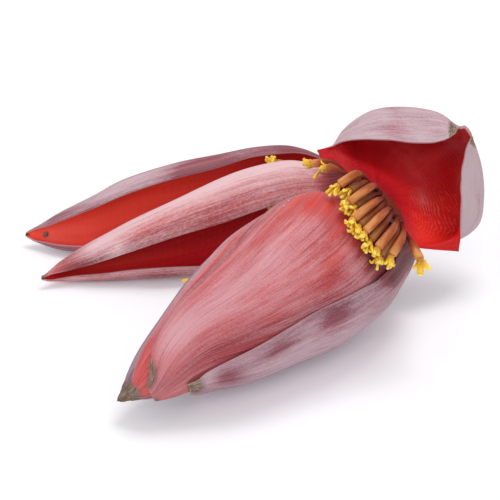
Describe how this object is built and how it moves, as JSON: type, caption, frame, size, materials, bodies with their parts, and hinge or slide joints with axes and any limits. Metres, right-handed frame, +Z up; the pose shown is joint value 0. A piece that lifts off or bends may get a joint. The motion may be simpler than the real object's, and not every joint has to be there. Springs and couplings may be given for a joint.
{
  "type": "banana blossom",
  "caption": "Cut banana blossom lying on its side, with three bracts peeled back to show red inner faces and hands of orange flowers.",
  "frame": {"origin": "on the ground, under the middle of the blossom's bounding box", "axes": "+X to the right along the longest extent, from the peeled bracts' tips towards the hood bract; +Y away from the bud's tip, towards the back; +Z up"},
  "size_m": [0.3036, 0.2653, 0.1133],
  "materials": {
    "bud_skin": "satin, with a pale waxy bloom over mauve",
    "stalk_flesh": "matt, fibrous pale green cut stem",
    "bract_skin": "satin, salmon to mauve, streaked lengthwise, with a pale waxy bloom",
    "peeled_bract": "satin crimson inside, mauve with a pale waxy bloom outside",
    "flowers": "satin orange-brown fingers with bright yellow lobed mouths"
  },
  "bodies": {
    "root": {"tight_bud": "bud_skin", "stalk": "stalk_flesh", "bract_inner": "bract_skin", "bract_front": "bract_skin", "bract_under": "bract_skin", "bract_left_front": "peeled_bract", "bract_left_back": "peeled_bract", "bract_hood": "peeled_bract", "flower_hand_front": "flowers", "flower_hand_left_front": "flowers", "flower_hand_left_back": "flowers"}
  },
  "joints": []
}
